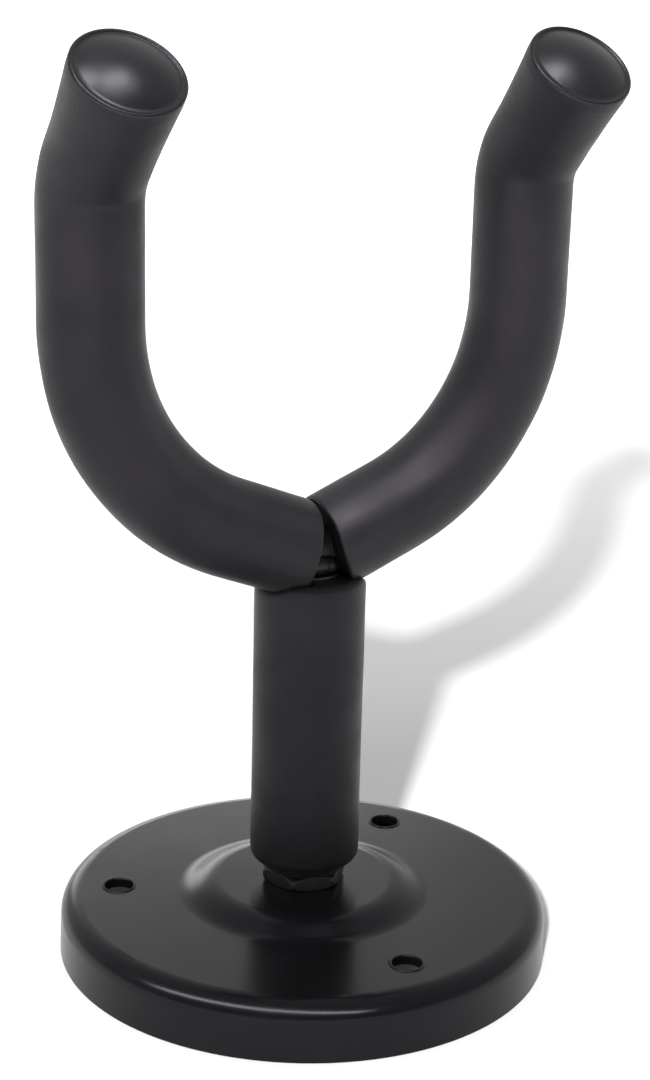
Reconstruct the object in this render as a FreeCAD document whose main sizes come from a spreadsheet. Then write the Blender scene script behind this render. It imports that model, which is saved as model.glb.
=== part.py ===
import FreeCAD, Part
import math
import os
import Sketcher
from FreeCAD import Placement, Rotation, Vector
from types import SimpleNamespace

# Wall guitar hanger, in millimetres.
# It stands on its wall plate: the origin is the centre of the plate's wall face, +Z runs
# along the stem away from the wall, X runs across the yoke, and the arm tips lean to -Y.

SIZES = [
    # wall plate, pressed from sheet steel
    ("plate_diameter", 85.5),
    ("plate_height", 10.0),
    ("plate_flare", 0.3),
    ("plate_sheet", 1.5),
    ("rim_round", 3.5),
    ("boss_rise", 2.2),
    ("boss_foot_diameter", 42.0),
    ("boss_top_diameter", 33.2),
    ("boss_round", 6.0),
    ("screw_hole_diameter", 5.0),
    ("screw_circle_diameter", 65.0),
    ("screw_hole_turn", 32.0),
    ("screw_hole_count", 3),
    ("screw_hole_lip", 0.4),
    # stem and its fixings
    ("stem_diameter", 10.0),
    ("thread_diameter", 8.0),
    ("shaft_clearance", 0.05),
    ("bore_gap", 0.05),
    ("turning_gap", 0.05),
    ("nut_across_flats", 13.0),
    ("jam_nut_height", 2.5),
    ("lock_nut_height", 4.0),
    ("jam_nut_turn", 46.0),
    ("lock_nut_turn", 10.0),
    ("nut_bevel", 30.0),
    ("nut_countersink", 0.5),
    ("washer_diameter", 16.0),
    ("washer_bore", 8.4),
    ("washer_thickness", 1.6),
    ("spring_diameter", 14.6),
    ("spring_thickness", 2.0),
    ("spring_slit", 1.2),
    ("spring_slant", 20.0),
    ("spring_turn", 70.0),
    ("thread_end", 1.3),
    ("thread_bevel", 0.8),
    ("shoulder_gap", 1.0),
    ("stem_saddle", 0.7),
    ("weld_root", 1.0),
    ("weld_bulge", 0.2),
    ("weld_belly_rise", 0.7),
    ("weld_neck_rise", 2.0),
    ("weld_height", 3.4),
    # yoke, bent from round bar
    ("yoke_diameter", 8.0),
    ("junction_height", 72.0),
    ("arm_slope", 21.5),
    ("centre_bend", 10.0),
    ("arm_run", 17.0),
    ("arm_bend", 38.0),
    ("arm_upright", 17.5),
    ("tip_bend", 12.0),
    ("tip_angle", 40.0),
    ("tip_run", 17.6),
    # foam sleeves and end caps
    ("arm_foam_diameter", 16.8),
    ("stem_foam_diameter", 19.0),
    ("foam_gap", 0.1),
    ("foam_flare", 9.0),
    ("foam_start", 4.0),
    ("stem_foam_bottom", 14.9),
    ("stem_foam_top", 68.5),
    ("stem_foam_bevel", 2.5),
    ("foam_round", 1.0),
    ("cap_diameter", 18.2),
    ("cap_rim", 2.0),
    ("cap_dome", 1.6),
    ("cap_lip", 0.9),
    ("cap_groove", 0.5),
    ("cap_stub", 4.0),
    ("cap_round", 0.5),
    ("cap_edge_round", 0.3),
]

# How far apart two computed places may be and still be the same, in millimetres.
SAME_PLACE = 0.001

doc = FreeCAD.newDocument("wall_guitar_hanger")
sheet = doc.addObject("Spreadsheet::Sheet", "Sizes")
for row, (alias, value) in enumerate(SIZES, 1):
    sheet.set("A%d" % row, alias.replace("_", " "))
    sheet.set("B%d" % row, str(value))
    sheet.setAlias("B%d" % row, alias)
doc.recompute()


class Dim:
    """A length or angle worked out from the sheet: its value now, and the expression for it."""

    def __init__(self, value, text):
        self.value = value
        self.text = text

    def combine(self, other, sign, value, swap=False):
        text = other.text if isinstance(other, Dim) else repr(other)
        left, right = (text, self.text) if swap else (self.text, text)
        return Dim(value, "(%s %s %s)" % (left, sign, right))

    def __add__(self, other):
        return self.combine(other, "+", self.value + number(other))

    def __sub__(self, other):
        return self.combine(other, "-", self.value - number(other))

    def __mul__(self, other):
        return self.combine(other, "*", self.value * number(other))

    def __truediv__(self, other):
        return self.combine(other, "/", self.value / number(other))

    def __rsub__(self, other):
        return self.combine(other, "-", other - self.value, swap=True)

    def __rtruediv__(self, other):
        return self.combine(other, "/", other / self.value, swap=True)


def number(dim):
    return dim.value if isinstance(dim, Dim) else float(dim)


def cos_of(degrees):
    return Dim(math.cos(math.radians(degrees.value)), "cos(%s * 1 deg)" % degrees.text)


def sin_of(degrees):
    return Dim(math.sin(math.radians(degrees.value)), "sin(%s * 1 deg)" % degrees.text)


def tan_of(degrees):
    return Dim(math.tan(math.radians(degrees.value)), "tan(%s * 1 deg)" % degrees.text)


def half_angle_tan(rise, reach):
    """Tangent of half the angle whose tangent is rise over reach."""
    return Dim(math.tan(math.atan2(rise.value, reach.value) / 2),
               "tan(atan(%s / %s) / 2)" % (rise.text, reach.text))


D = SimpleNamespace(**{alias: Dim(float(sheet.get(alias)), "Sizes." + alias)
                       for alias, _ in SIZES})


# ---------------------------------------------------------------- sketch and feature helpers


def new_body(label):
    body = doc.addObject("PartDesign::Body", label)
    body.Label = label
    return body


def new_sketch(body, name, role, height=None):
    """A sketch on one of the body's origin planes, raised along its normal by height."""
    sketch = body.newObject("Sketcher::SketchObject", name)
    plane = [f for f in body.Origin.OriginFeatures if f.Role == role][0]
    sketch.AttachmentSupport = [(plane, "")]
    sketch.MapMode = "FlatFace"
    if height:
        sketch.setExpression("AttachmentOffset.Base.z", height.text)
    return sketch


def bind(sketch, name, dim, *constraint):
    """Adds a constraint whose value is that dimension."""
    index = sketch.addConstraint(Sketcher.Constraint(*constraint, dim.value))
    sketch.renameConstraint(index, name)
    sketch.setExpression("Constraints." + name, dim.text)


def place(sketch, name, geometry, end, across, up):
    """Ties a point to its distances from the sketch's axes. A distance of 0 puts it on one."""
    if number(across):
        bind(sketch, name + "_across", across, "DistanceX", -1, 1, geometry, end)
    else:
        sketch.addConstraint(Sketcher.Constraint("PointOnObject", geometry, end, -2))
    if number(up):
        bind(sketch, name + "_up", up, "DistanceY", -1, 1, geometry, end)
    else:
        sketch.addConstraint(Sketcher.Constraint("PointOnObject", geometry, end, -1))


def circle(sketch, name, diameter, across=0, up=0):
    middle = Vector(number(across), number(up), 0)
    index = sketch.addGeometry(Part.Circle(middle, Vector(0, 0, 1), diameter.value / 2))
    bind(sketch, name, diameter, "Diameter", index)
    place(sketch, name, index, 3, across, up)


def corner_arc(before, at, after, radius):
    """The arc that rounds a corner: its two tangent points and the arc, which turns left."""
    come = (at - before).normalize()
    go = (after - at).normalize()
    left = come.x * go.y - come.y * go.x > 0
    turn = math.acos(come.dot(go))
    tangent = radius * math.tan(turn / 2)
    first = at - come * tangent
    last = at + go * tangent
    side = Vector(-come.y, come.x, 0) * (radius if left else -radius)
    middle = first + side
    ends = [math.atan2(p.y - middle.y, p.x - middle.x)
            for p in ((first, last) if left else (last, first))]
    arc = Part.ArcOfCircle(Part.Circle(middle, Vector(0, 0, 1), radius), *ends)
    return first, last, arc, left


def outline(sketch, corners, dome=None):
    """A closed outline. A corner is (across, up) or (across, up, rounding). The side that
    starts at corner number dome is an arc about a point on the upright axis, turning left."""
    count = len(corners)
    points = [Vector(number(c[0]), number(c[1]), 0) for c in corners]
    starts = list(points)
    ends = [points[(i + 1) % count] for i in range(count)]
    arcs = {}
    for i, corner in enumerate(corners):
        if len(corner) == 3:
            first, last, arc, left = corner_arc(
                points[i - 1], points[i], points[(i + 1) % count], corner[2].value)
            ends[i - 1] = first
            starts[i] = last
            arcs[i] = (arc, left)
    sides = []
    for i in range(count):
        if i == dome:
            a, b = starts[i], ends[i]
            middle = ((b.y ** 2 - a.y ** 2) - a.x ** 2) / (2 * (b.y - a.y))
            round_side = Part.Circle(Vector(0, middle, 0), Vector(0, 0, 1), b.y - middle)
            angle = math.atan2(a.y - middle, a.x)
            sides.append(sketch.addGeometry(Part.ArcOfCircle(round_side, angle, math.pi / 2)))
            sketch.addConstraint(Sketcher.Constraint("PointOnObject", sides[i], 3, -2))
        else:
            sides.append(sketch.addGeometry(Part.LineSegment(starts[i], ends[i])))
    for i, corner in enumerate(corners):
        name = "corner%d" % i
        if i not in arcs:
            sketch.addConstraint(Sketcher.Constraint("Coincident", sides[i - 1], 2, sides[i], 1))
            place(sketch, name, sides[i], 1, corner[0], corner[1])
            continue
        arc, left = arcs[i]
        index = sketch.addGeometry(arc)
        first, last = (1, 2) if left else (2, 1)
        sketch.addConstraint(Sketcher.Constraint("Tangent", sides[i - 1], 2, index, first))
        sketch.addConstraint(Sketcher.Constraint("Tangent", index, last, sides[i], 1))
        bind(sketch, name + "_rounding", corner[2], "Radius", index)
        sharp = sketch.addGeometry(Part.Point(points[i]), True)
        place(sketch, name, sharp, 1, corner[0], corner[1])
        sketch.addConstraint(Sketcher.Constraint("PointOnObject", sharp, 1, sides[i - 1]))
        sketch.addConstraint(Sketcher.Constraint("PointOnObject", sharp, 1, sides[i]))


def revolve(body, name, corners, kind="PartDesign::Revolution", dome=None):
    """A full turn of an outline in the XZ plane about the Z axis."""
    sketch = new_sketch(body, name + "_sketch", "XZ_Plane")
    outline(sketch, corners, dome)
    feature = body.newObject(kind, name)
    feature.Profile = sketch
    feature.ReferenceAxis = (sketch, ["V_Axis"])
    feature.Angle = 360
    doc.recompute()
    return feature


def pad(body, name, sketch, length):
    feature = body.newObject("PartDesign::Pad", name)
    feature.Profile = sketch
    feature.setExpression("Length", length.text)
    doc.recompute()
    return feature


def pocket_through(body, name, sketch):
    feature = body.newObject("PartDesign::Pocket", name)
    feature.Profile = sketch
    feature.Type = "ThroughAll"
    feature.Midplane = True
    doc.recompute()
    return feature


def circles_at(feature, level, radius):
    """Names of the circular edges about Z with that height and radius."""
    found = []
    for i, edge in enumerate(feature.Shape.Edges, 1):
        curve = None if edge.Degenerated else edge.Curve
        if (isinstance(curve, Part.Circle)
                and abs(curve.Axis.z) > 1 - SAME_PLACE
                and abs(curve.Center.z - number(level)) < SAME_PLACE
                and abs(curve.Radius - number(radius)) < SAME_PLACE):
            found.append("Edge%d" % i)
    return found


def dress(body, kind, name, base, edges, field, dim):
    """A fillet or chamfer on named edges."""
    feature = body.newObject(kind, name)
    feature.Base = (base, edges)
    feature.setExpression(field, dim.text)
    doc.recompute()
    return feature


def boolean(kind, name, base, tool):
    feature = doc.addObject(kind, name)
    feature.Base = base
    feature.Tool = tool
    feature.Label = name
    doc.recompute()
    return feature


def cut(name, base, tool):
    return boolean("Part::Cut", name, base, tool)


def raised(level, degrees=0):
    """A placement up the stem, turned about it."""
    return Placement(Vector(0, 0, number(level)), Rotation(Vector(0, 0, 1), number(degrees)))


# ---------------------------------------------------------------- levels up the stem

BOSS_TOP = D.plate_height + D.boss_rise
JAM_NUT_LEVEL = BOSS_TOP + D.turning_gap
SHOULDER = JAM_NUT_LEVEL + D.jam_nut_height + D.shoulder_gap
WASHER_LEVEL = BOSS_TOP - D.plate_sheet - D.washer_thickness
SPRING_LEVEL = WASHER_LEVEL - D.turning_gap - D.spring_thickness
LOCK_NUT_LEVEL = SPRING_LEVEL - D.lock_nut_height
# The centre bend lifts the yoke's bar a little above the point where its two arms aim.
BAR_MIDDLE = D.junction_height + D.centre_bend * (1 / cos_of(D.arm_slope) - 1)
BAR_UNDERSIDE = BAR_MIDDLE - D.yoke_diameter / 2
STEM_TOP = BAR_UNDERSIDE + D.stem_saddle

# ---------------------------------------------------------------- wall plate and fixings


def make_base_plate():
    """A dished plate with a turned-down, slightly flared rim and a raised boss that gives the
    rear nut its room. The three screw holes have softened lips."""
    body = new_body("base_plate")
    bore = D.thread_diameter / 2 + D.shaft_clearance
    crown = D.boss_top_diameter / 2
    foot = D.boss_foot_diameter / 2
    edge = D.plate_diameter / 2
    rim = edge - D.plate_flare
    sheet_side = D.plate_height - D.plate_sheet
    shift = D.plate_sheet * half_angle_tan(D.boss_rise, foot - crown)
    tight = D.boss_round - D.plate_sheet
    revolve(body, "pressing", [
        (bore, BOSS_TOP),
        (bore, BOSS_TOP - D.plate_sheet),
        (crown - shift, BOSS_TOP - D.plate_sheet, tight),
        (foot - shift, sheet_side, D.boss_round),
        (rim - D.plate_sheet, sheet_side, D.rim_round - D.plate_sheet),
        (edge - D.plate_sheet, 0),
        (edge, 0),
        (rim, D.plate_height, D.rim_round),
        (foot, D.plate_height, tight),
        (crown, BOSS_TOP, D.boss_round),
    ])
    holes = new_sketch(body, "screw_hole_sketch", "XY_Plane", D.plate_height)
    reach = D.screw_circle_diameter / 2
    circle(holes, "bore", D.screw_hole_diameter,
           reach * cos_of(D.screw_hole_turn), reach * sin_of(D.screw_hole_turn))
    hole = pocket_through(body, "screw_hole", holes)
    pattern = body.newObject("PartDesign::PolarPattern", "screw_holes")
    pattern.Originals = [hole]
    pattern.Axis = (holes, ["N_Axis"])
    pattern.Angle = 360
    pattern.setExpression("Occurrences", D.screw_hole_count.text)
    body.Tip = pattern
    doc.recompute()
    lips = circles_at(pattern, D.plate_height, D.screw_hole_diameter / 2)
    dress(body, "PartDesign::Fillet", "screw_hole_lips", pattern, lips,
          "Radius", D.screw_hole_lip)
    return body


def flat_ring(name, outer, bore, thickness):
    """A flat ring standing on its own XY plane."""
    disc = doc.addObject("Part::Cylinder", name + "_disc")
    hole = doc.addObject("Part::Cylinder", name + "_hole")
    for cylinder, diameter in ((disc, outer), (hole, bore)):
        cylinder.setExpression("Radius", (diameter / 2).text)
        cylinder.setExpression("Height", thickness.text)
    return cut(name, disc, hole)


def make_rear_washer():
    """The flat washer that the boss's underside bears on."""
    ring = flat_ring("rear_washer", D.washer_diameter, D.washer_bore, D.washer_thickness)
    ring.Placement = raised(WASHER_LEVEL)
    return ring


def make_spring_washer():
    """A split washer, pressed flat, with a slanting slit."""
    ring = flat_ring("spring_ring", D.spring_diameter, D.washer_bore, D.spring_thickness)
    slit = doc.addObject("Part::Box", "spring_slit")
    slit.setExpression("Length", D.spring_diameter.text)
    slit.setExpression("Width", D.spring_slit.text)
    # The leaning cutter starts below the ring and ends above it.
    slit.setExpression("Height", (D.spring_thickness * 3).text)
    slit.Placement = Placement(Vector(0, 0, -D.spring_thickness.value),
                               Rotation(Vector(1, 0, 0), D.spring_slant.value))
    feature = cut("spring_washer", ring, slit)
    feature.Placement = raised(SPRING_LEVEL, D.spring_turn)
    return feature


def make_nut(label, level, height, turn):
    """A hex nut with both faces bevelled and its bore countersunk."""
    body = new_body(label)
    sketch = new_sketch(body, label + "_sketch", "XY_Plane")
    across_corners = D.nut_across_flats / cos_of(D.nut_bevel)
    reach = across_corners.value / 2
    guide = sketch.addGeometry(Part.Circle(Vector(0, 0, 0), Vector(0, 0, 1), reach), True)
    sketch.addConstraint(Sketcher.Constraint("Coincident", guide, 3, -1, 1))
    bind(sketch, "across_corners", across_corners, "Diameter", guide)
    corner = [Vector(reach * math.cos(i * math.pi / 3), reach * math.sin(i * math.pi / 3), 0)
              for i in range(6)]
    sides = [sketch.addGeometry(Part.LineSegment(corner[i], corner[(i + 1) % 6]))
             for i in range(6)]
    for i, side in enumerate(sides):
        sketch.addConstraint(Sketcher.Constraint("Coincident", side, 2, sides[(i + 1) % 6], 1))
        sketch.addConstraint(Sketcher.Constraint("PointOnObject", side, 1, guide))
        if i:
            sketch.addConstraint(Sketcher.Constraint("Equal", sides[0], side))
    sketch.addConstraint(Sketcher.Constraint("PointOnObject", sides[0], 1, -1))
    bore = D.thread_diameter + D.bore_gap * 2
    circle(sketch, "bore", bore)
    pad(body, label + "_blank", sketch, height)
    flat = D.nut_across_flats / 2
    beyond = D.nut_across_flats
    drop = flat * tan_of(D.nut_bevel)
    revolve(body, label + "_lower_bevel", [(flat, 0), (beyond, 0), (beyond, drop)],
            "PartDesign::Groove")
    blank = revolve(body, label + "_upper_bevel",
                    [(flat, height), (beyond, height - drop), (beyond, height)],
                    "PartDesign::Groove")
    mouths = circles_at(blank, 0, bore / 2) + circles_at(blank, height, bore / 2)
    dress(body, "PartDesign::Chamfer", label + "_countersinks", blank, mouths,
          "Size", D.nut_countersink)
    body.Placement = raised(level, turn)
    return body


# ---------------------------------------------------------------- the yoke's centre line


class Route:
    """A smooth line of straight runs and bends, kept as edges, with its end and direction."""

    def __init__(self, start, direction):
        self.point = start
        self.direction = direction
        self.edges = []

    def run(self, length):
        end = self.point + self.direction * length
        self.edges.append(Part.LineSegment(self.point, end).toShape())
        self.point = end

    def bend(self, towards, radius, degrees):
        """Turns through that angle towards a unit vector square to the direction."""
        angle = math.radians(degrees)
        centre = self.point + towards * radius

        def on_arc(a):
            return centre - towards * radius * math.cos(a) + self.direction * radius * math.sin(a)

        end = on_arc(angle)
        self.edges.append(Part.Arc(self.point, on_arc(angle / 2), end).toShape())
        self.direction = self.direction * math.cos(angle) + towards * math.sin(angle)
        self.point = end


def arm_route(side, skip, tip_cut):
    """One arm, side +1 on the right, from skip along its first run to tip_cut before its tip."""
    slope = math.radians(D.arm_slope.value)
    along = Vector(side * math.cos(slope), 0, math.sin(slope))
    inwards = Vector(-side * math.sin(slope), 0, math.cos(slope))
    junction = Vector(0, 0, D.junction_height.value)
    route = Route(junction + along * number(skip), along)
    route.run(D.arm_run.value - number(skip))
    route.bend(inwards, D.arm_bend.value, 90 - D.arm_slope.value)
    route.run(D.arm_upright.value)
    route.bend(Vector(0, -1, 0), D.tip_bend.value, D.tip_angle.value)
    route.run(D.tip_run.value - number(tip_cut))
    return route


def sweep(name, edges, diameter, start, direction):
    """A round bar along edges that join end to end, with one end at start."""
    line = doc.addObject("Part::Feature", name + "_line")
    line.Shape = Part.Wire(edges)
    section = doc.addObject("Part::Circle", name + "_section")
    section.setExpression("Radius", (diameter / 2).text)
    section.Placement = Placement(start, Rotation(Vector(0, 0, 1), direction))
    doc.recompute()
    bar = doc.addObject("Part::Sweep", name)
    bar.Sections = [section]
    bar.Spine = (line, ["Edge%d" % (i + 1) for i in range(len(edges))])
    bar.Solid = True
    bar.Frenet = False
    bar.Label = name
    doc.recompute()
    return bar


def arm_sweep(name, side, diameter):
    """A round bar where one arm's foam sleeve is, from near the middle to the end cap."""
    route = arm_route(side, D.foam_start, D.cap_rim)
    return sweep(name, route.edges, diameter, route.point, route.direction)


# ---------------------------------------------------------------- yoke, stem and foam


def make_yoke_rod():
    """One bar from tip to tip. Its centre bend is an arc tangent to both arms' first runs."""
    tangent = D.centre_bend * tan_of(D.arm_slope)
    covered = D.cap_rim + D.cap_stub
    left, right = (arm_route(side, tangent, covered) for side in (-1, 1))
    ends = [r.edges[0].firstVertex().Point for r in (left, right)]
    centre = Part.Arc(ends[0], Vector(0, 0, BAR_MIDDLE.value), ends[1]).toShape()
    edges = left.edges[::-1] + [centre] + right.edges
    return sweep("yoke_rod", edges, D.yoke_diameter, left.point, left.direction)


def make_stem_rod(yoke_rod):
    """The stem: a round bar turned down to the thread's diameter below a shoulder that the
    foam hides. Its top is saddled to the yoke's bar."""
    body = new_body("stem_blank")
    thread = D.thread_diameter / 2
    stem = D.stem_diameter / 2
    revolve(body, "stem_turned", [
        (0, D.thread_end),
        (thread - D.thread_bevel, D.thread_end),
        (thread, D.thread_end + D.thread_bevel),
        (thread, SHOULDER),
        (stem, SHOULDER),
        (stem, STEM_TOP),
        (0, STEM_TOP),
    ])
    return cut("stem_rod", body, yoke_rod)


def make_stem_weld(stem_rod, yoke_rod):
    """The weld round the stem's top, filling the corner under the bar on both sides."""
    body = new_body("weld_blank")
    stem = D.stem_diameter / 2
    root = stem - D.weld_root
    revolve(body, "weld_turned", [
        (root, BAR_UNDERSIDE),
        (stem, BAR_UNDERSIDE),
        (stem + D.weld_bulge, BAR_UNDERSIDE + D.weld_belly_rise),
        (stem - D.weld_bulge, BAR_UNDERSIDE + D.weld_neck_rise),
        (root, BAR_UNDERSIDE + D.weld_height),
    ])
    return cut("stem_weld", cut("weld_on_stem", body, stem_rod), yoke_rod)


def make_arm_sleeve(label, side):
    """A foam tube pushed over the bar, from near the middle to the arm's end cap, where it
    widens to the cap's own diameter."""
    tube = arm_sweep(label + "_tube", side, D.arm_foam_diameter)
    flare = doc.addObject("Part::Cone", label + "_flare")
    for size, value in (("Radius1", D.arm_foam_diameter / 2), ("Radius2", D.cap_diameter / 2),
                        ("Height", D.foam_flare)):
        flare.setExpression(size, value.text)
    start = arm_route(side, 0, D.cap_rim + D.foam_flare)
    flare.Placement = Placement(start.point, Rotation(Vector(0, 0, 1), start.direction))
    foam = boolean("Part::Fuse", label + "_foam", tube, flare)
    bore = arm_sweep(label + "_bore", side, D.yoke_diameter + D.bore_gap * 2)
    return cut(label, foam, bore)


def make_stem_sleeve():
    """A foam tube on the stem: bevelled at the bottom, and at the top pressed in where the
    two arm sleeves sit on it."""
    body = new_body("stem_foam")
    bore = D.stem_diameter / 2 + D.bore_gap
    outside = D.stem_foam_diameter / 2
    bevel = D.stem_foam_bevel
    revolve(body, "stem_foam_tube", [
        (bore, D.stem_foam_bottom),
        (outside - bevel, D.stem_foam_bottom, D.foam_round),
        (outside, D.stem_foam_bottom + bevel, D.foam_round),
        (outside, D.stem_foam_top, D.foam_round),
        (bore, D.stem_foam_top),
    ])
    pressed = body
    for side, name in ((-1, "stem_foam_left_cut"), (1, "stem_sleeve")):
        space = arm_sweep(name + "_space", side, D.arm_foam_diameter + D.foam_gap * 2)
        pressed = cut(name, pressed, space)
    return pressed


def make_tip_cap(label, side):
    """A plug for an arm's end: a stub in the foam's bore and a head with a low dome inside a
    thin raised rim."""
    body = new_body(label)
    stub = D.yoke_diameter / 2
    head = D.cap_diameter / 2
    lip = head - D.cap_lip
    rim = D.cap_stub + D.cap_rim
    revolve(body, label + "_turned", [
        (0, 0),
        (stub, 0),
        (stub, D.cap_stub),
        (head, D.cap_stub),
        (head, rim, D.cap_round),
        (lip, rim, D.cap_edge_round),
        (lip, rim - D.cap_groove),
        (0, rim + D.cap_dome),
    ], dome=6)
    tip = arm_route(side, 0, 0)
    foot = tip.point - tip.direction * rim.value
    body.Placement = Placement(foot, Rotation(Vector(0, 0, 1), tip.direction))
    return body


# ---------------------------------------------------------------- the whole hanger

yoke_rod = make_yoke_rod()
stem_rod = make_stem_rod(yoke_rod)
subparts = [
    make_base_plate(),
    make_rear_washer(),
    stem_rod,
    yoke_rod,
    make_stem_weld(stem_rod, yoke_rod),
    make_nut("jam_nut", JAM_NUT_LEVEL, D.jam_nut_height, D.jam_nut_turn),
    make_spring_washer(),
    make_nut("lock_nut", LOCK_NUT_LEVEL, D.lock_nut_height, D.lock_nut_turn),
    make_stem_sleeve(),
    make_arm_sleeve("left_arm_sleeve", -1),
    make_arm_sleeve("right_arm_sleeve", 1),
    make_tip_cap("left_tip_cap", -1),
    make_tip_cap("right_tip_cap", 1),
]
doc.recompute()

for item in doc.Objects:
    if "Invalid" in item.State or "Error" in item.State:
        raise RuntimeError("%s did not compute: %s" % (item.Label, item.State))
for subpart in subparts:
    if subpart.Shape.isNull() or not subpart.Shape.isValid() or not subpart.Shape.Solids:
        raise RuntimeError("%s has no valid solid" % subpart.Label)

os.makedirs("parts", exist_ok=True)
for subpart in subparts:
    subpart.Shape.exportStep("parts/%s.step" % subpart.Label)
    box = subpart.Shape.BoundBox
    print("%-18s %9.1f mm3, z %6.2f to %6.2f, %d solid"
          % (subpart.Label, subpart.Shape.Volume, box.ZMin, box.ZMax,
             len(subpart.Shape.Solids)))
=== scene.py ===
import math

import bmesh
import bpy
from mathutils import Matrix, Vector, noise

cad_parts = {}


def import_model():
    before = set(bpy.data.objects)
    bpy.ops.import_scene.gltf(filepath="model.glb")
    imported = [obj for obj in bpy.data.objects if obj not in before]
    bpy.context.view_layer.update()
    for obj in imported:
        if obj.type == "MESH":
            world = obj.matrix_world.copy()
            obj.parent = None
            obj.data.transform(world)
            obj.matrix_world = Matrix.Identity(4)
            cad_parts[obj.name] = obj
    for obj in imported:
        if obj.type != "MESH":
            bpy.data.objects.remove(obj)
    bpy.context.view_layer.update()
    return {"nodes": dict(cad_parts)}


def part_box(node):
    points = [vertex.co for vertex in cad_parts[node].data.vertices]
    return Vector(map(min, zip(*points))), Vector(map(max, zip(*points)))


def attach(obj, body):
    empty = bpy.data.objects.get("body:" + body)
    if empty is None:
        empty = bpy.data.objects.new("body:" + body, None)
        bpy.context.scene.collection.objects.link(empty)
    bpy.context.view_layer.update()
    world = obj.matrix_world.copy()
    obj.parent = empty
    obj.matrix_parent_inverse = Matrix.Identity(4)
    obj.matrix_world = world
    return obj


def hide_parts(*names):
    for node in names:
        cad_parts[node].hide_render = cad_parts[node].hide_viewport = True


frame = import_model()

# Wall guitar hanger. Metres, in the CAD model's frame: the stem stands on +Z, the yoke lies
# across X, and its arm tips lean to -Y.

MM = 0.001
NODES = frame["nodes"]
UP = Vector((0, 0, 1))
FRONT = Vector((0, -1, 0))


def low(node):
    """A node's lowest corner."""
    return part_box(node)[0]


def high(node):
    """A node's highest corner."""
    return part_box(node)[1]


# ---------------------------------------------------------------- sizes

FOAM_RADIUS = high("right_arm_sleeve").y
BAR_RADIUS = high("yoke_rod").y
CAP_RADIUS = 9.1 * MM
UPRIGHT_X = high("right_tip_cap").x - CAP_RADIUS
ARM_SLOPE = math.radians(21.5)
CENTRE_BEND = 10 * MM
ARM_BEND = 38 * MM
ARM_UPRIGHT = 17.5 * MM
TIP_BEND = 12 * MM
TIP_ANGLE = math.radians(40)
TIP_RUN = 17.6 * MM
FOAM_FLARE = 12 * MM
CAP_RIM = 2 * MM
CAP_STUB = 4 * MM
BORE_GAP = 0.05 * MM
FOAM_START = 4 * MM
STEM_RADIUS = 5 * MM
THREAD_RADIUS = 4 * MM

# The bar's underside is lowest at its middle, which its centre bend lifts above the junction.
BAR_MIDDLE = low("yoke_rod").z + BAR_RADIUS
PLATE_TOP = 10 * MM
JUNCTION = Vector((0, 0, BAR_MIDDLE - CENTRE_BEND * (1 / math.cos(ARM_SLOPE) - 1)))
ARM_RUN = (UPRIGHT_X - ARM_BEND * (1 - math.sin(ARM_SLOPE))) / math.cos(ARM_SLOPE)

SIDES = {"left": -1, "right": 1}


# ---------------------------------------------------------------- mesh helpers


def smooth_step(value, start, end):
    """0 at start, 1 at end, level at both."""
    share = min(1, max(0, (value - start) / (end - start)))
    return share * share * (3 - 2 * share)


def bump(value, middle, width):
    """A bell of height 1."""
    return math.exp(-((value - middle) / width) ** 2)


def soft_min(values, softness):
    """The least of the values, with the corner where two of them cross rounded off."""
    least = min(values)
    total = sum(math.exp((least - v) / softness) for v in values)
    return least - softness * math.log(total)


def mesh_object(name, build, sharp_degrees=38):
    """An object from a bmesh that build fills, smooth except at edges sharper than that."""
    shape = bmesh.new()
    build(shape)
    bmesh.ops.recalc_face_normals(shape, faces=shape.faces)
    data = bpy.data.meshes.new(name)
    shape.to_mesh(data)
    shape.free()
    data.shade_smooth()
    data.set_sharp_from_angle(angle=math.radians(sharp_degrees))
    piece = bpy.data.objects.new(name, data)
    bpy.context.scene.collection.objects.link(piece)
    return piece


def loft(shape, rings, wrap=False, tips=(None, None)):
    """Joins rings of points with quads. wrap joins the last ring to the first, and a tip
    closes an end with a fan."""
    made = [[shape.verts.new(p) for p in ring] for ring in rings]
    for i in range(len(made) if wrap else len(made) - 1):
        lower, upper = made[i], made[(i + 1) % len(made)]
        for j in range(len(lower)):
            k = (j + 1) % len(lower)
            shape.faces.new((lower[j], lower[k], upper[k], upper[j]))
    for tip, ring in ((tips[0], made[0]), (tips[1], made[-1])):
        if tip is not None:
            point = shape.verts.new(tip)
            for j in range(len(ring)):
                shape.faces.new((ring[j], ring[(j + 1) % len(ring)], point))


ROUND_POINTS = 96


def circle(count=ROUND_POINTS):
    """Angles evenly spaced round a full turn."""
    return [2 * math.pi * i / count for i in range(count)]


def about_z(radius, angle, z):
    return Vector((radius * math.cos(angle), radius * math.sin(angle), z))


def ring_about_z(radius, z, count=ROUND_POINTS):
    return [about_z(radius, a, z) for a in circle(count)]


def rounded(profile, fillets, steps=5):
    """A line of (radius, z) points with the numbered corners rounded to those radii."""
    points = []
    for i, corner in enumerate(profile):
        if i not in fillets:
            points.append(corner)
            continue
        at = Vector(corner)
        to_last = (Vector(profile[i - 1]) - at).normalized()
        to_next = (Vector(profile[(i + 1) % len(profile)]) - at).normalized()
        half = to_last.angle(to_next) / 2
        middle = at + (to_last + to_next).normalized() * fillets[i] / math.sin(half)
        first = at + to_last * fillets[i] / math.tan(half) - middle
        last = at + to_next * fillets[i] / math.tan(half) - middle
        for step in range(steps + 1):
            turned = first.slerp(last, step / steps).normalized() * fillets[i]
            points.append(tuple(middle + turned))
    return points


# ---------------------------------------------------------------- the yoke's centre line


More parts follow.
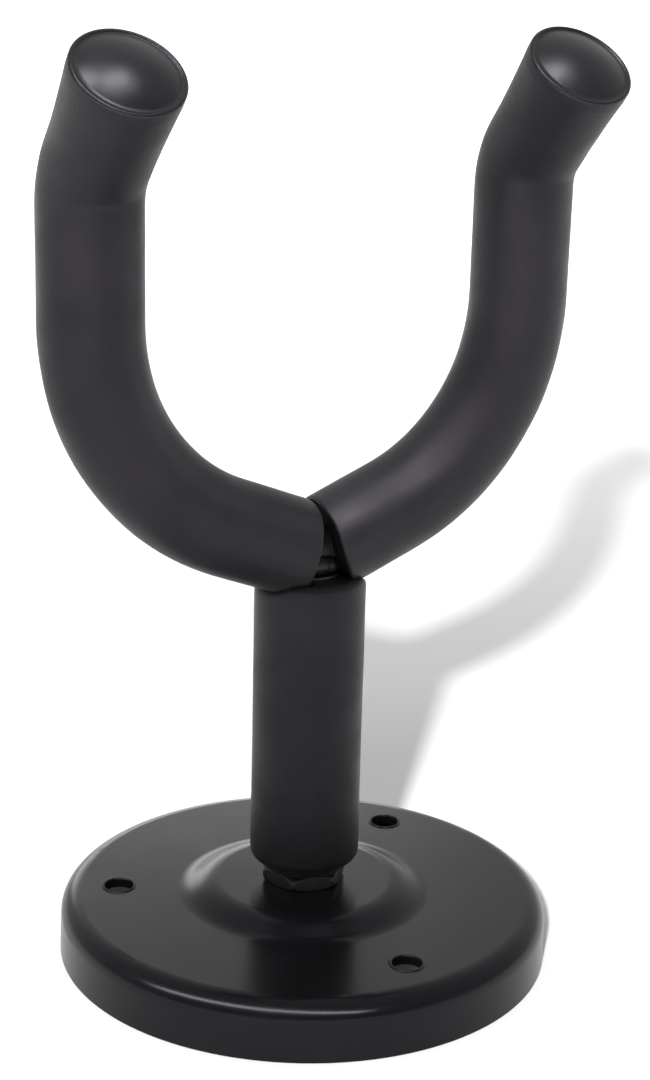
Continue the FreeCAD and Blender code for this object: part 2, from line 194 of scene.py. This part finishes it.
class Station:
    """A place on an arm's centre line: where it is and the tube's own axes there."""

    def __init__(self, point, tangent, inner, front):
        self.point = point
        self.tangent = tangent
        self.inner = inner
        self.front = front

    def at(self, angle, radius):
        """A point round the tube: angle 0 faces the other arm and a quarter turn faces -Y."""
        across = self.inner * math.cos(angle) + self.front * math.sin(angle)
        return self.point + across * radius


class Arm:
    """One arm's centre line from the junction: a run, the big bend, an upright and the tip."""

    def __init__(self, side):
        self.side = side
        self.slope = Vector((side * math.cos(ARM_SLOPE), 0, math.sin(ARM_SLOPE)))
        self.parts = [("run", ARM_RUN), ("bend", ARM_BEND * (math.pi / 2 - ARM_SLOPE)),
                      ("upright", ARM_UPRIGHT), ("tip_bend", TIP_BEND * TIP_ANGLE),
                      ("tip_run", TIP_RUN)]
        self.starts = {}
        along = 0
        for name, length in self.parts:
            self.starts[name] = along
            along += length
        self.length = along

    def station(self, along):
        """The centre line at that distance from the junction."""
        inner = Vector((-self.side * math.sin(ARM_SLOPE), 0, math.cos(ARM_SLOPE)))
        point, tangent = JUNCTION.copy(), self.slope.copy()
        front = FRONT.copy()
        remaining = along
        for name, length in self.parts:
            step = min(remaining, length) if name != "tip_run" else remaining
            if name == "bend":
                angle = step / ARM_BEND
                centre = point + inner * ARM_BEND
                point = centre - inner * ARM_BEND * math.cos(angle) \
                    + tangent * ARM_BEND * math.sin(angle)
                tangent, inner = (tangent * math.cos(angle) + inner * math.sin(angle),
                                  inner * math.cos(angle) - tangent * math.sin(angle))
            elif name == "tip_bend":
                angle = step / TIP_BEND
                centre = point + front * TIP_BEND
                point = centre - front * TIP_BEND * math.cos(angle) \
                    + tangent * TIP_BEND * math.sin(angle)
                tangent, front = (tangent * math.cos(angle) + front * math.sin(angle),
                                  front * math.cos(angle) - tangent * math.sin(angle))
            else:
                point = point + tangent * step
            remaining -= step
            if remaining <= 0:
                break
        return Station(point, tangent, inner, front)

    def distances(self, start, end, coarse=1.6 * MM, fine=0.7 * MM, margin=5 * MM):
        """Distances to put rings at: close together round the tip bend, wider elsewhere."""
        found = [start]
        fine_from = self.starts["tip_bend"] - margin
        fine_to = self.starts["tip_run"] + margin
        while found[-1] < end - fine:
            step = fine if fine_from < found[-1] < fine_to else coarse
            found.append(min(end, found[-1] + step))
        if found[-1] < end:
            found.append(end)
        return found


# ---------------------------------------------------------------- foam sleeves

# How many millimetres along its arm each sleeve's cut end lies, an eighth of a turn apart from
# the side that faces the other arm round by the front, the underside and the back.
CUT_ENDS = {
    "left": (3.75, 3.5, 3.2, 2.1, 1.7, 3.2, 4.1, 4.0),
    "right": (3.75, 3.1, 2.2, 2.7, 3.4, 3.9, 4.1, 4.0),
}
FOAM_SEGMENTS = 80
FOAM_SEEDS = {"left": 7.7, "right": 3.1}
FOAM_EDGE = 0.35 * MM
# The modelled skins lie this far inside the nominal ones, so that their unevenness stays in them.
SKIN_ALLOWANCE = 0.07 * MM
CAP_SKIN = CAP_RADIUS - 0.17 * MM
# The skin's unevenness: its depth and how closely it repeats.
BROAD_WAVES = (0.07 * MM, 90)
FINE_WAVES = (0.03 * MM, 260)
CREASE_DEPTH = 0.14 * MM
CREASE_LENGTH = 2.2 * MM
CREASE_SPREAD = 0.9
FLARE_POWER = 1.4


def round_trip(values, angle):
    """A smooth closed curve through evenly spaced values, read at an angle."""
    count = len(values)
    place = (angle / (2 * math.pi)) % 1 * count
    i = int(place)
    share = place - i
    a, b, c, d = (values[(i + k) % count] for k in (-1, 0, 1, 2))
    return b + 0.5 * share * (c - a + share * (2 * a - 5 * b + 4 * c - d
                                               + share * (3 * (b - c) + d - a)))


def foam_radius(arm, along, angle, seed):
    """The sleeve's skin: round, a little uneven, creased inside the tip bend, and stretched
    wider at the end by the cap."""
    place = arm.station(along).at(angle, FOAM_RADIUS)
    broad_depth, broad_rate = BROAD_WAVES
    fine_depth, fine_rate = FINE_WAVES
    uneven = broad_depth * noise.noise(place * broad_rate + Vector((seed, 0, 0)))
    uneven += fine_depth * noise.noise(place * fine_rate + Vector((0, seed, 0)))
    tip = arm.starts["tip_bend"] + TIP_BEND * TIP_ANGLE / 2
    facing = bump(math.remainder(angle - math.pi / 2, 2 * math.pi), 0, CREASE_SPREAD)
    crease = CREASE_DEPTH * facing * bump(along, tip, CREASE_LENGTH)
    end = arm.length - CAP_RIM
    skin = FOAM_RADIUS - SKIN_ALLOWANCE
    flare = (CAP_SKIN - skin) * max(0, 1 - (end - along) / FOAM_FLARE) ** FLARE_POWER
    settle = 1 - smooth_step(along, end - FOAM_EDGE * 4, end)
    return skin + flare + uneven * settle - crease


def arm_sleeve(side_name):
    """An arm's foam, from its leaning cut end at the junction to the cap."""
    arm = Arm(SIDES[side_name])
    end = arm.length - CAP_RIM
    bore = BAR_RADIUS + BORE_GAP
    bore_start = FOAM_START + 1 * MM
    cut_mouth = bore + 0.2 * MM
    cut_middle = 6 * MM
    angles = circle(FOAM_SEGMENTS)
    cut = [round_trip(CUT_ENDS[side_name], a) * MM for a in angles]
    seed = FOAM_SEEDS[side_name]
    blend_over = 14 * MM

    def ring(along, inset=0.0, radius=None):
        """A ring that leans like the cut end near it and stands square further along."""
        points = []
        for angle, start in zip(angles, cut):
            share = 1 - smooth_step(along, FOAM_START, FOAM_START + blend_over)
            where = along + (start - FOAM_START) * share
            r = radius if radius else foam_radius(arm, where, angle, seed) - inset
            points.append(arm.station(where).at(angle, r))
        return points

    def build(shape):
        rings = [ring(FOAM_START, radius=cut_mouth), ring(FOAM_START, radius=cut_middle)]
        cut_faces = len(rings) * FOAM_SEGMENTS
        for degrees in (0, 22, 45, 68, 90):
            turn = math.radians(degrees)
            rings.append(ring(FOAM_START + FOAM_EDGE - FOAM_EDGE * math.cos(turn),
                              inset=FOAM_EDGE - FOAM_EDGE * math.sin(turn)))
        rings += [ring(d) for d in arm.distances(FOAM_START + 2 * FOAM_EDGE, end)]
        rings.append(ring(end, radius=bore))
        rings += [ring(d, radius=bore) for d in reversed(arm.distances(bore_start, end)[:-1])]
        loft(shape, rings, wrap=True)
        # The cut ends take the second, cut-foam material, which is darkened as painted shade of
        # the gap between the sleeves.
        for i, face in enumerate(shape.faces):
            face.material_index = 1 if i < cut_faces else 0

    return mesh_object(side_name + "_arm_foam", build, sharp_degrees=60)


def under_arm_sleeves(x, y, gap):
    """Height of the lowest foam above (x, y), or the gap between the two cut ends."""
    reach = FOAM_RADIUS + gap
    start = min(CUT_ENDS["left" if x < 0 else "right"]) * MM - gap
    axis = JUNCTION.z + abs(x) * math.tan(ARM_SLOPE)
    span = max(0, reach * reach - y * y)
    underside = axis - math.sqrt(span) / math.cos(ARM_SLOPE) if span else axis + reach
    cut_x = start * math.cos(ARM_SLOPE)
    cut_z = JUNCTION.z + start * math.sin(ARM_SLOPE)
    end_face = cut_z - (abs(x) - cut_x) / math.tan(ARM_SLOPE)
    return max(underside, end_face)


def stem_sleeve():
    """The stem's foam: bevelled at the foot, and pressed to shape under the arm sleeves."""
    outside = high("stem_sleeve").x
    bottom = low("stem_sleeve").z
    bore = STEM_RADIUS + BORE_GAP
    flat_top = 68.5 * MM
    press_gap = 0.05 * MM
    press_softness = 0.25 * MM
    bevel = 2.5 * MM
    foot_height = 12 * MM
    shoulder = 1.3 * MM
    wave_depth, wave_rate = 0.06 * MM, 90
    skin = outside - wave_depth
    profile = rounded(
        [(bore, bottom), (outside - bevel, bottom), (outside, bottom + bevel),
         (outside, bottom + foot_height)], {1: 1.1 * MM, 2: 1.8 * MM}, steps=6)
    side_steps, crown_steps = 34, 8

    def top(radius, angle):
        x, y = radius * math.cos(angle), radius * math.sin(angle)
        return soft_min((flat_top, under_arm_sleeves(x, y, press_gap)), press_softness)

    def build(shape):
        rings = [ring_about_z(r, z) for r, z in profile]
        angles = circle()
        straight_from = profile[-1][1]
        for i in range(1, side_steps + 1):
            share = i / side_steps
            ring = []
            for a in angles:
                crown = top(outside, a) - shoulder
                z = straight_from + (crown - straight_from) * share
                wave = wave_depth * noise.noise(about_z(1, a, z * wave_rate))
                ring.append(about_z(skin + wave, a, z))
            rings.append(ring)
        for degrees in (18, 36, 54, 72, 90):
            turn = math.radians(degrees)
            r = skin - shoulder * (1 - math.cos(turn))
            drop = shoulder * (1 - math.sin(turn))
            rings.append([about_z(r, a, min(top(outside, a) - drop, top(r, a))) for a in angles])
        edge = skin - shoulder
        for i in range(1, crown_steps + 1):
            r = edge + (bore - edge) * i / crown_steps
            rings.append([about_z(r, a, top(r, a)) for a in angles])
        loft(shape, rings, wrap=True)

    return mesh_object("stem_foam", build, sharp_degrees=60)


# ---------------------------------------------------------------- end caps


def tip_cap(side_name):
    """A moulded plug: a low dome inside a thin raised lip, over a stub in the sleeve's bore."""
    arm = Arm(SIDES[side_name])
    foot = arm.station(arm.length - CAP_RIM - CAP_STUB)
    rim = CAP_STUB + CAP_RIM
    stub_bevel = 0.8 * MM
    head = CAP_SKIN
    lip_round = 0.45 * MM
    lip_inside = head - 0.95 * MM
    groove = 0.22 * MM
    dome = 1.6 * MM
    straight_side = 0.7 * MM
    dome_steps = 14

    def build(shape):
        profile = [(BAR_RADIUS - stub_bevel, 0), (BAR_RADIUS, stub_bevel),
                   (BAR_RADIUS, CAP_STUB), (head, CAP_STUB), (head, CAP_STUB + straight_side)]
        for degrees in range(0, 136, 15):
            turn = math.radians(degrees)
            profile.append((head - lip_round * (1 - math.cos(turn)),
                            rim - lip_round * (1 - math.sin(turn))))
        for i in range(dome_steps):
            share = i / dome_steps
            profile.append((lip_inside * (1 - share),
                            rim - groove + (dome + groove) * (1 - (1 - share) ** 2)))
        rings = [[foot.at(a, radius) + foot.tangent * height for a in circle()]
                 for radius, height in profile]
        loft(shape, rings, tips=(foot.point, foot.point + foot.tangent * (rim + dome)))
        for face in shape.faces:
            height = (face.calc_center_median() - foot.point).dot(foot.tangent)
            face.material_index = 0 if height < rim - lip_round else 1

    return mesh_object(side_name + "_cap", build, sharp_degrees=50)


# ---------------------------------------------------------------- steel pieces


def thread_radius(angle, z, outside, pitch, depth):
    """A V thread's radius: it falls and rises once a pitch, and the V climbs as it turns."""
    crest, steepness = 0.12, 1.25
    phase = (z / pitch - angle / (2 * math.pi)) % 1
    valley = abs(2 * phase - 1)
    return outside - depth * min(1, max(0, steepness * valley - crest))


def stem_bar():
    """The stem, with a rolled thread from its end up to the shoulder that the foam hides."""
    pitch, depth = 1.25 * MM, 0.7 * MM
    end = low("stem_rod").z
    end_radius, bevel_rise = 3.1 * MM, 1.2
    shoulder = high("jam_nut").z + 1 * MM
    stem = high("stem_rod").x
    top = BAR_MIDDLE - BAR_RADIUS
    rings_per_pitch = 10
    segments = 60

    def build(shape):
        angles = circle(segments)
        count = int((shoulder - end) / pitch * rings_per_pitch)
        rings = []
        for i in range(count + 1):
            z = end + (shoulder - end) * i / count
            bevel = end_radius + (z - end) * bevel_rise
            thread = [thread_radius(a, z, THREAD_RADIUS, pitch, depth) for a in angles]
            rings.append([about_z(min(bevel, r), a, z) for a, r in zip(angles, thread)])
        rings.append(ring_about_z(stem, shoulder, segments))
        rings.append(ring_about_z(stem, top, segments))
        loft(shape, rings, tips=(Vector((0, 0, end)), Vector((0, 0, top))))

    return mesh_object("stem_bar", build, sharp_degrees=50)


def hex_nut(name, node, turn_degrees):
    """A hex nut with both faces bevelled, its corners softened and its bore countersunk."""
    flat = 6.5 * MM
    sixth = math.radians(60)
    corner = flat / math.cos(sixth / 2) - 0.12 * MM
    edge_softness = 0.035 * MM
    lowest, highest = low(node).z, high(node).z
    bore = THREAD_RADIUS + BORE_GAP
    sink = 0.5 * MM
    bevel = math.tan(math.radians(30))
    turn = math.radians(turn_degrees)
    segments = 180

    def outer(angle, z):
        off = math.remainder(angle - turn - sixth / 2, sixth)
        side = flat / math.cos(off)
        return soft_min((side, corner, flat + (highest - z) / bevel,
                         flat + (z - lowest) / bevel), edge_softness)

    def build(shape):
        # closer together near the faces, where the bevels are
        heights = [lowest + (highest - lowest) * s
                   for s in (0, 0.02, 0.05, 0.09, 0.13, 0.17, 0.22, 0.5,
                             0.78, 0.83, 0.87, 0.91, 0.95, 0.98, 1)]
        rings = [[about_z(outer(a, z), a, z) for a in circle(segments)] for z in heights]
        rings += [ring_about_z(r, z, segments) for r, z in
                  ((bore + sink, highest), (bore, highest - sink),
                   (bore, lowest + sink), (bore + sink, lowest))]
        loft(shape, rings, wrap=True)

    return mesh_object(name, build, sharp_degrees=50)


def weld_bead():
    """The uneven bead round the top of the stem, where the bar sits on it."""
    path = high("stem_rod").x - 1.0 * MM
    middle = BAR_MIDDLE - BAR_RADIUS + 0.9 * MM
    half_width, half_height = 1.3 * MM, 1.5 * MM
    rise_at_sides = 1.05 * MM
    ripples, ripple_depth = 19, 0.12 * MM
    lump_depth = 0.2 * MM
    bead_points, ring_points = 13, 72

    def ripple(angle):
        lump = noise.noise(about_z(1, angle, 4) * 2)
        return ripple_depth * math.sin(angle * ripples) + lump_depth * lump

    def build(shape):
        rings = []
        for turn in circle(bead_points):
            ring = []
            for a in circle(ring_points):
                r = path + (half_width + ripple(a)) * math.cos(turn)
                z = middle + rise_at_sides * math.sin(a) ** 2 \
                    + (half_height + ripple(a)) * math.sin(turn)
                ring.append(about_z(r, a, z))
            rings.append(ring)
        loft(shape, rings, wrap=True)

    return mesh_object("weld_bead", build)


def hole_lips():
    """The thin rolled lips round the plate's screw holes."""
    holes = 3
    pitch_radius = 32.5 * MM
    hole = 2.5 * MM
    first_turn = math.radians(32)
    lip = 0.3 * MM
    lip_middle = hole + lip * 0.9
    level = PLATE_TOP - 0.1 * MM
    lip_points, hole_points = 16, 64

    def build(shape):
        for turn in circle(holes):
            middle = about_z(1, first_turn + turn, 0) * pitch_radius
            rings = []
            for a in circle(lip_points):
                ring = ring_about_z(lip_middle + lip * math.cos(a), level + lip * math.sin(a),
                                    hole_points)
                rings.append([p + middle for p in ring])
            loft(shape, rings, wrap=True)

    return mesh_object("hole_lips", build)


# ---------------------------------------------------------------- materials


def fill_ramp(node, stops):
    """Gives a new colour ramp its stops, each (position, colour)."""
    elements = node.color_ramp.elements
    for element, (where, colour) in zip(elements, (stops[0], stops[-1])):
        element.position = where
        element.color = (*colour, 1)
    for where, colour in stops[1:-1]:
        elements.new(where).color = (*colour, 1)


class Look:
    """A material being built: its nodes, with short ways to add and join them."""

    def __init__(self, name, **sockets):
        self.material = bpy.data.materials.new(name)
        self.material.use_nodes = True
        self.nodes = self.material.node_tree.nodes
        self.links = self.material.node_tree.links
        self.shader = self.nodes["Principled BSDF"]
        for socket, value in sockets.items():
            self.shader.inputs[socket.replace("_", " ")].default_value = value
        self.place = self.nodes.new("ShaderNodeTexCoord").outputs["Object"]

    def noise(self, scale, detail=2.0, roughness=0.5, stretch=(1, 1, 1)):
        mapping = self.nodes.new("ShaderNodeMapping")
        mapping.inputs["Scale"].default_value = stretch
        self.links.new(self.place, mapping.inputs["Vector"])
        texture = self.nodes.new("ShaderNodeTexNoise")
        texture.inputs["Scale"].default_value = scale
        texture.inputs["Detail"].default_value = detail
        texture.inputs["Roughness"].default_value = roughness
        self.links.new(mapping.outputs["Vector"], texture.inputs["Vector"])
        return texture.outputs["Fac"]

    def cells(self, scale):
        texture = self.nodes.new("ShaderNodeTexVoronoi")
        texture.inputs["Scale"].default_value = scale
        self.links.new(self.place, texture.inputs["Vector"])
        return texture.outputs["Distance"]

    def ramp(self, source, stops):
        node = self.nodes.new("ShaderNodeValToRGB")
        fill_ramp(node, stops)
        self.links.new(source, node.inputs["Fac"])
        return node.outputs["Color"]

    def spread(self, source, low_value, high_value, start=0.3, end=0.7):
        node = self.nodes.new("ShaderNodeMapRange")
        node.inputs["From Min"].default_value = start
        node.inputs["From Max"].default_value = end
        node.inputs["To Min"].default_value = low_value
        node.inputs["To Max"].default_value = high_value
        self.links.new(source, node.inputs["Value"])
        return node.outputs["Result"]

    def from_origin(self):
        """Distance from the piece's own origin, in metres."""
        node = self.nodes.new("ShaderNodeVectorMath")
        node.operation = "LENGTH"
        self.links.new(self.place, node.inputs[0])
        return node.outputs["Value"]

    def colour(self, source):
        self.links.new(source, self.shader.inputs["Base Color"])

    def roughness(self, source):
        self.links.new(source, self.shader.inputs["Roughness"])

    def relief(self, heights):
        """Bumps, each (height source, depth in metres), laid one over another."""
        last = None
        for source, depth in heights:
            node = self.nodes.new("ShaderNodeBump")
            node.inputs["Distance"].default_value = depth
            self.links.new(source, node.inputs["Height"])
            if last:
                self.links.new(last, node.inputs["Normal"])
            last = node.outputs["Normal"]
        self.links.new(last, self.shader.inputs["Normal"])


def grey(level, tint=0.0):
    """A grey, turned a little towards violet by a positive tint."""
    return (level, level * (1 - tint), level * (1 + tint * 1.6))


def foam_look():
    look = Look("foam_skin", IOR=1.29, Specular_Tint=(0.98, 0.93, 1, 1), Sheen_Weight=0.05,
                Sheen_Roughness=0.4)
    look.colour(look.ramp(look.noise(55, 3), [(0.3, grey(0.0075, 0.06)), (0.5, grey(0.0102, 0.07)),
                                              (0.72, grey(0.0145, 0.08))]))
    look.roughness(look.spread(look.noise(140, 3), 0.4, 0.53))
    look.relief([(look.cells(2600), 0.000016), (look.noise(900, 3), 0.000018)])
    return look.material


def foam_cut_and_shade_look():
    """The foam's cut ends: darker for their open cells, and darker still as painted shade of the
    gap between the sleeves, where the cut ends face each other.
    """
    look = Look("foam_cut_and_shade", IOR=1.15)
    look.colour(look.ramp(look.cells(1800), [(0.1, grey(0.002)), (0.6, grey(0.007))]))
    look.roughness(look.spread(look.noise(600, 3), 0.8, 0.95))
    look.relief([(look.cells(1800), 0.00012)])
    return look.material


def cap_look():
    look = Look("cap_skin", IOR=1.38, Specular_Tint=(0.93, 0.91, 1, 1))
    look.colour(look.ramp(look.noise(120), [(0.3, grey(0.006, 0.05)), (0.7, grey(0.01, 0.07))]))
    look.roughness(look.spread(look.noise(260, 3), 0.27, 0.34))
    look.relief([(look.noise(160), 0.00005), (look.noise(700), 0.00001)])
    return look.material


def plate_look():
    look = Look("plate_paint", IOR=1.285, Specular_Tint=(0.94, 0.91, 1, 1))
    look.colour(look.ramp(look.noise(70, 3), [(0.3, grey(0.003, 0.05)),
                                              (0.7, grey(0.005, 0.07))]))
    look.roughness(look.spread(look.noise(45, 4), 0.2, 0.26))
    look.relief([(look.noise(420), 0.000006), (look.noise(2200, 1), 0.000002)])
    return look.material


def bar_look():
    look = Look("bar_paint", IOR=1.45)
    look.colour(look.ramp(look.noise(160, 3), [(0.3, grey(0.006)), (0.7, grey(0.011))]))
    look.roughness(look.spread(look.noise(300, 3), 0.42, 0.56))
    look.relief([(look.noise(900, 3), 0.00003)])
    return look.material


def black_nut_look():
    look = Look("black_oxide", IOR=1.5)
    look.colour(look.ramp(look.noise(500, 4), [(0.3, grey(0.009)), (0.7, grey(0.018))]))
    look.roughness(look.spread(look.noise(700, 3), 0.34, 0.5))
    look.relief([(look.noise(1500, 3, stretch=(1, 1, 0.3)), 0.000015)])
    return look.material


def zinc_look():
    look = Look("zinc_plate", Metallic=1.0)
    look.colour(look.ramp(look.noise(220, 4), [(0.25, (0.42, 0.42, 0.44)),
                                               (0.5, (0.55, 0.55, 0.56)),
                                               (0.8, (0.62, 0.60, 0.55))]))
    look.roughness(look.spread(look.noise(900, 3), 0.28, 0.42))
    look.relief([(look.noise(2400, 2, stretch=(1, 1, 0.25)), 0.00001)])
    return look.material


FOAM, FOAM_CUT_AND_SHADE, CAP = foam_look(), foam_cut_and_shade_look(), cap_look()
PLATE, BAR = plate_look(), bar_look()
BLACK_NUT, ZINC = black_nut_look(), zinc_look()


def finish_piece(piece, body, slot, nodes, *materials):
    """Gives a new piece its materials, hangs it on the body it rides on, and hides the CAD nodes
    that it stands in for.
    """
    for material in materials:
        piece.data.materials.append(material)
    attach(piece, body)
    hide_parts(*nodes)
    return piece


def dress_node(node, material):
    """Gives a CAD node's own object that material."""
    for place in NODES[node].material_slots:
        place.material = material


# ---------------------------------------------------------------- the hanger

ARM_FOAM, ARM_PIECES = {}, []
for name in SIDES:
    sleeve = finish_piece(arm_sleeve(name), "yoke", "foam", [name + "_arm_sleeve"],
                          FOAM, FOAM_CUT_AND_SHADE)
    cap = finish_piece(tip_cap(name), "yoke", "cap_rubber", [name + "_tip_cap"], FOAM, CAP)
    ARM_FOAM[name] = sleeve
    ARM_PIECES += [sleeve, cap]
stem_foam = finish_piece(stem_sleeve(), "yoke", "foam", ["stem_sleeve"], FOAM)
finish_piece(stem_bar(), "yoke", "bar_paint", ["stem_rod"], ZINC)
finish_piece(weld_bead(), "yoke", "bar_paint", ["stem_weld"], BAR)
finish_piece(hex_nut("jam_nut_body", "jam_nut", 46), "yoke", "black_nut", ["jam_nut"], BLACK_NUT)
finish_piece(hex_nut("lock_nut_body", "lock_nut", 10), "yoke", "rear_fixings", ["lock_nut"], ZINC)
# The lips stand beside the plate's own node and replace nothing.
lips = hole_lips()
lips.data.materials.append(PLATE)
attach(lips, "base")
dress_node("base_plate", PLATE)
dress_node("yoke_rod", BAR)
dress_node("rear_washer", ZINC)
dress_node("spring_washer", ZINC)

# ---------------------------------------------------------------- floor, light and camera

FLOOR_RADIUS = 9.0
FLOOR_LEVEL = -0.1 * MM
WALL_HEIGHT = 8.0


def floor():
    """A wide round sheet of backdrop paper just under the plate, painted near-black where the
    plate covers it, as painted shade seen through the screw holes. Away from the hanger it glows
    as painted light that grows with distance, lightening the far shadows and keeping the paper
    white."""
    def disc(shape):
        shape.faces.new([shape.verts.new(p) for p in ring_about_z(FLOOR_RADIUS, FLOOR_LEVEL)])

    piece = mesh_object("floor", disc)
    look = Look("floor_paper", IOR=1.2, Emission_Color=(1, 1, 1, 1))
    # Painted shade: the paper is nearly black inside the plate's outline, so the screw holes look
    # dark.
    look.colour(look.ramp(look.from_origin(), [(0.037, grey(0.02)), (0.04, grey(0.87))]))
    look.roughness(look.spread(look.noise(300), 0.85, 0.95))
    # Painted light: the paper glows more the farther it is from the hanger, which lightens the far
    # shadows.
    painted_glow = look.ramp(look.from_origin(), [(0.08, grey(0.03)), (0.14, grey(0.14)),
                                          (0.25, grey(0.25)), (0.38, grey(0.38)),
                                          (0.9, grey(1))])
    look.links.new(painted_glow, look.shader.inputs["Emission Strength"])
    piece.data.materials.append(look.material)
    return piece


def wall():
    """Glowing paper that stands round the floor's edge. It is seen, but lights nothing."""
    def band(shape):
        loft(shape, [ring_about_z(FLOOR_RADIUS, z) for z in (FLOOR_LEVEL, WALL_HEIGHT)])

    piece = mesh_object("wall", band)
    look = Look("wall_paper", Emission_Color=(1, 1, 1, 1), Emission_Strength=1.0)
    look.roughness(look.spread(look.noise(300), 0.85, 0.95))
    piece.data.materials.append(look.material)
    piece.visible_diffuse = False
    piece.visible_glossy = False
    piece.visible_shadow = False


def direction(azimuth, elevation):
    """Unit vector towards a place that many degrees round from -Y and above the horizon."""
    a, e = math.radians(azimuth), math.radians(elevation)
    return Vector((math.sin(a) * math.cos(e), -math.cos(a) * math.cos(e), math.sin(e)))


def lamp(name, kind, towards, power, distance=0.8, **settings):
    """A lamp that faces the middle of the hanger from that direction and distance."""
    data = bpy.data.lights.new(name, kind)
    data.energy = power
    for key, value in settings.items():
        setattr(data, key, value)
    light = bpy.data.objects.new(name, data)
    aim = Vector((0, 0, 0.06))
    light.location = aim + towards * distance
    light.rotation_euler = towards.to_track_quat("Z", "Y").to_euler()
    bpy.context.scene.collection.objects.link(light)
    return light


def only_lights(light, pieces):
    """Keeps a lamp's light to those pieces."""
    group = bpy.data.collections.new(light.name + "_receivers")
    for piece in pieces:
        group.objects.link(piece)
    light.light_linking.receiver_collection = group


def world():
    """Pale studio walls: bright low down behind the hanger, dim in front and overhead."""
    bright_side = direction(150, 12)
    scene_world = bpy.data.worlds.new("studio")
    bpy.context.scene.world = scene_world
    scene_world.use_nodes = True
    nodes, links = scene_world.node_tree.nodes, scene_world.node_tree.links
    background = nodes["Background"]
    place = nodes.new("ShaderNodeTexCoord")
    facing = nodes.new("ShaderNodeVectorMath")
    facing.operation = "DOT_PRODUCT"
    facing.inputs[1].default_value = bright_side
    links.new(place.outputs["Generated"], facing.inputs[0])
    ramp = nodes.new("ShaderNodeValToRGB")
    fill_ramp(ramp, [(0.1, grey(0.2)), (0.55, grey(0.46)), (0.95, grey(0.79))])
    half = nodes.new("ShaderNodeMapRange")
    half.inputs["From Min"].default_value = -1
    links.new(facing.outputs["Value"], half.inputs["Value"])
    links.new(half.outputs["Result"], ramp.inputs["Fac"])
    links.new(ramp.outputs["Color"], background.inputs["Color"])
    background.inputs["Strength"].default_value = 1.0


def camera():
    azimuth, elevation = -30.18, 17.12
    target = Vector((0, 0, 0.070))
    distance = 0.34977
    roll = math.radians(1.34)
    back = direction(azimuth, elevation)
    right = UP.cross(back).normalized()
    up = back.cross(right)
    rolled_right = right * math.cos(roll) + up * math.sin(roll)
    rolled_up = up * math.cos(roll) - right * math.sin(roll)
    data = bpy.data.cameras.new("camera")
    data.lens = 69.22
    data.shift_x = 0.01324
    data.shift_y = 0.02098
    data.clip_start = 0.01
    data.clip_end = 50
    view = bpy.data.objects.new("camera", data)
    turn = Matrix((rolled_right, rolled_up, back)).transposed()
    view.matrix_world = Matrix.Translation(target + back * distance) @ turn.to_4x4()
    bpy.context.scene.collection.objects.link(view)
    bpy.context.scene.camera = view


paper = floor()
wall()
world()
only_lights(lamp("shadow_lamp", "POINT", direction(-40, 26.6), 142, distance=1.44,
                 shadow_soft_size=0.035), [paper])
plate = NODES["base_plate"]
# Soft panels, most of them for one highlight: where each stands, its watts, its width and height
# in metres, and the pieces that it lights.
for name, azimuth, elevation, power, width, height, pieces in (
        ("top_box", -62, 74, 1.7, 0.14, 0.14, ARM_PIECES),
        ("side_box", 12, 74, 2.6, 0.28, 0.2, ARM_PIECES),
        ("arm_box", 12, 54, 4.2, 0.2, 0.2, [ARM_FOAM["right"]]),
        ("fill_box", 70, 20, 1.3, 0.6, 0.6, ARM_FOAM.values()),
        ("arm_strip", -52, 42, 2.6, 1.5, 0.14, ARM_PIECES),
        ("rim_strip", -52, 42, 12, 1.5, 0.12, [plate, lips]),
        ("back_box", 162, 9, 0.95, 0.5, 0.22, [plate])):
    only_lights(lamp(name, "AREA", direction(azimuth, elevation), power, shape="RECTANGLE",
                     size=width, size_y=height), pieces)
camera()
bpy.context.scene.view_settings.view_transform = "Standard"
